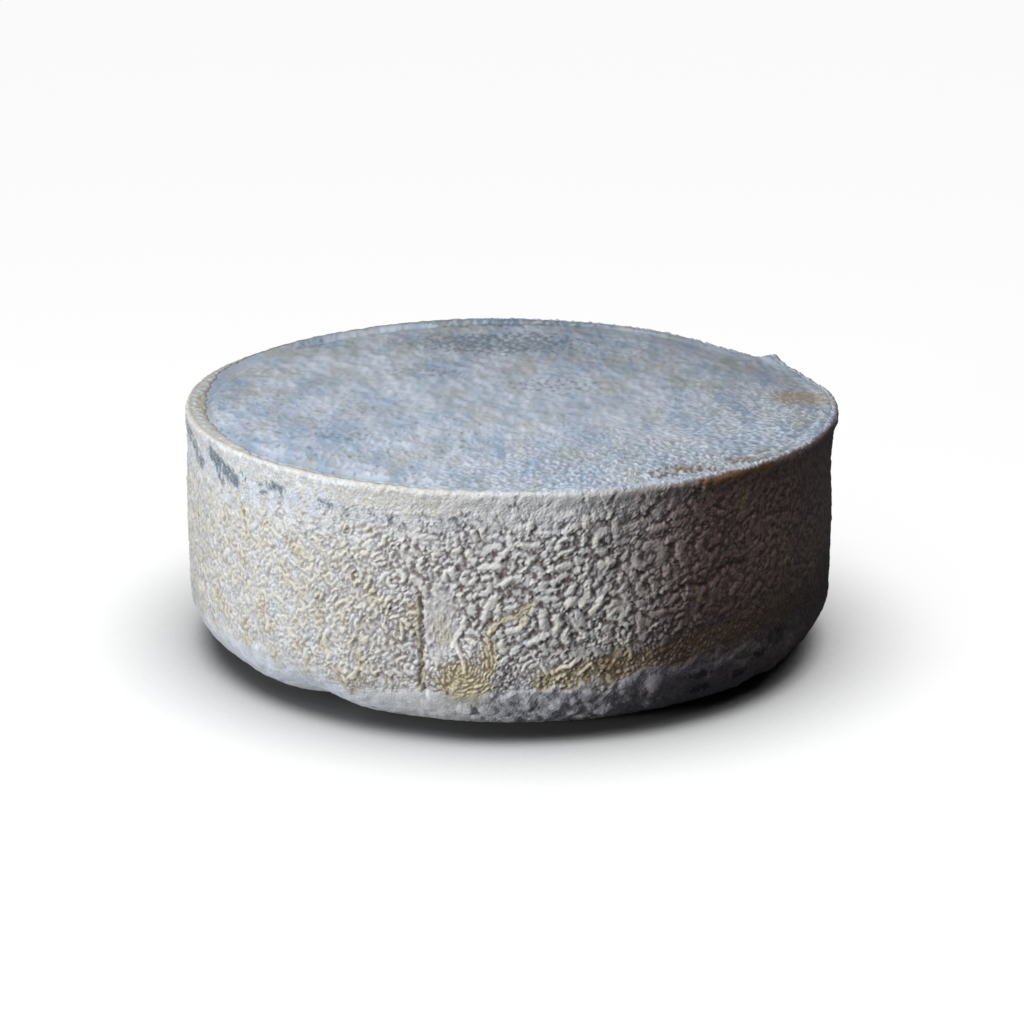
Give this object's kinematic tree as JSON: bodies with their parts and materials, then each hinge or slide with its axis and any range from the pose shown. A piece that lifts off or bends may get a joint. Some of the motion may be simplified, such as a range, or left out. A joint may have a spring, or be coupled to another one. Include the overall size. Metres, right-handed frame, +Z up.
{
  "type": "cheese wheel",
  "caption": "Uncut wheel of blue cheese with a mould-covered flat top, a raised rim and a wrinkled natural rind on its upright side.",
  "frame": {"origin": "centre of the flat base, on the surface that the wheel stands on", "axes": "+Z up through the wheel, -Y towards the front where the wrinkles are deepest, +X to the right of it"},
  "size_m": [0.2798, 0.281, 0.1063],
  "materials": {
    "rind": "dry, dull natural rind with grey-white and blue-grey mould bloom over cream cheese"
  },
  "bodies": {
    "root": {"cheese_wheel": "rind"}
  },
  "joints": []
}
